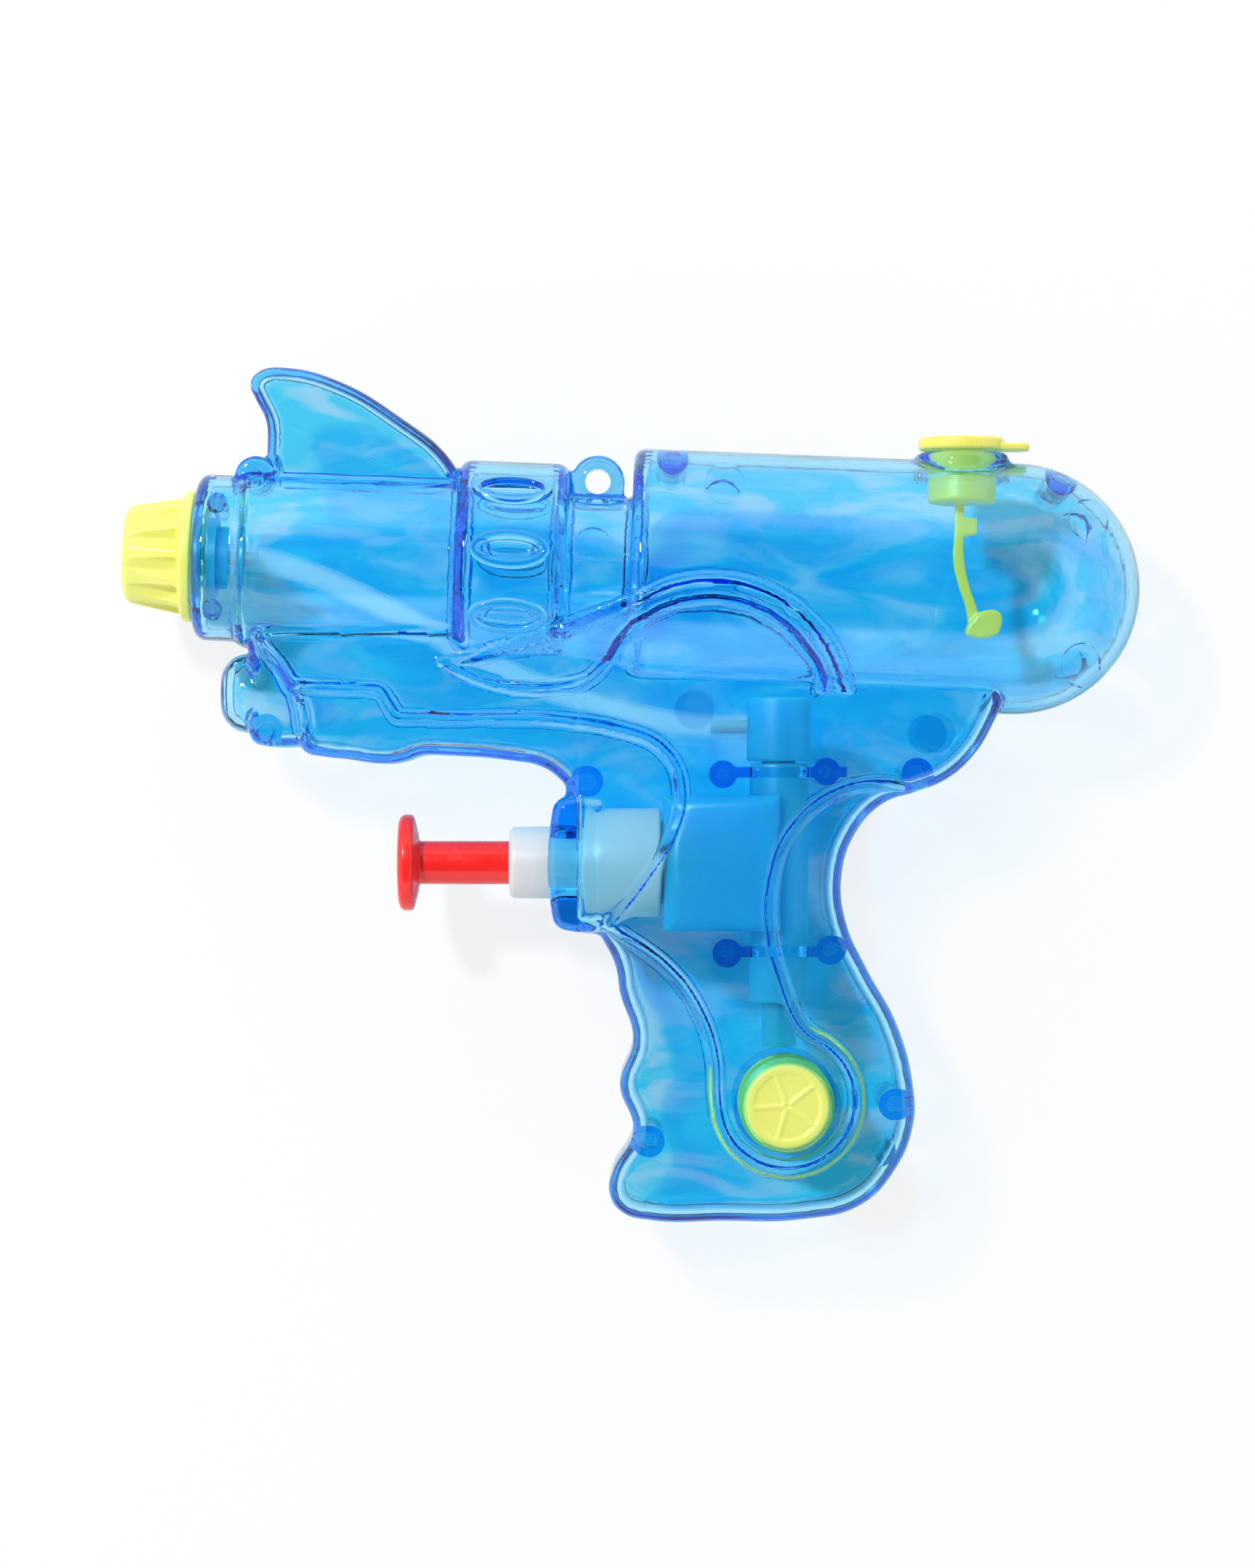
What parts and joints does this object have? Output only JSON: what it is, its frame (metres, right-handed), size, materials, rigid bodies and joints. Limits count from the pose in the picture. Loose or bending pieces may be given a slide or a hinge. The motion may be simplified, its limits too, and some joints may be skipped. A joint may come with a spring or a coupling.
{
  "type": "toy water squirter",
  "caption": "Clear plastic toy water pistol with a water tank behind a barrel, a push trigger working a piston pump in the grip, a nozzle and a tethered filler plug.",
  "frame": {"origin": "bottom centre of the box of the toy lying on its right side", "axes": "+X from the nozzle towards the tail of the tank, +Y up the toy from the grip to the fin, +Z out of the left side, across the parting plane"},
  "size_m": [0.1554, 0.1298, 0.0399],
  "materials": {
    "clear_blue": "clear blue polystyrene, polished",
    "pump_blue": "blue moulded plastic, satin",
    "yellow": "pale yellow moulded plastic, satin",
    "red": "red moulded plastic, satin",
    "milky_white": "natural milky moulded plastic",
    "hose": "milky soft tube",
    "seal_rubber": "black seal rubber",
    "steel": "plain steel"
  },
  "bodies": {
    "body": {"shell_left": "clear_blue", "shell_right": "clear_blue", "nozzle_core": "pump_blue", "nozzle_gasket": "seal_rubber", "delivery_hose": "hose", "pump_gland": "milky_white", "rod_seal": "seal_rubber", "return_spring": "steel", "pump_body": "pump_blue", "outlet_elbow": "pump_blue", "inlet_tube": "pump_blue", "grip_spool": "yellow"},
    "trigger": {"trigger": "red", "piston_ring": "seal_rubber"},
    "filler_plug": {"filler_plug": "yellow"},
    "nozzle_cap": {"nozzle_cap": "yellow"},
    "inlet_ball": {"inlet_ball": "steel"},
    "outlet_ball": {"outlet_ball": "steel"}
  },
  "joints": [
    {"name": "trigger_pull", "type": "slide", "parent": "body", "child": "trigger", "axis": [1, 0, 0], "range_m": [0, 0.013], "stiffness_N_per_m": 200, "springref_m": -0.01, "deforming": ["return_spring"]},
    {"name": "plug_pull", "type": "slide", "parent": "body", "child": "filler_plug", "axis": [0, 1, 0], "range_m": [0, 0.02]},
    {"name": "nozzle_turn", "type": "hinge", "parent": "body", "child": "nozzle_cap", "pos_m": [-0.07122, 0.03624, 0.01997], "axis": [0.9992, -0.0393, 0], "continuous": true},
    {"name": "inlet_ball_lift", "type": "slide", "parent": "body", "child": "inlet_ball", "axis": [0, 1, 0], "range_m": [0, 0.0015]},
    {"name": "outlet_ball_lift", "type": "slide", "parent": "body", "child": "outlet_ball", "axis": [0, 1, 0], "range_m": [0, 0.0015]}
  ]
}
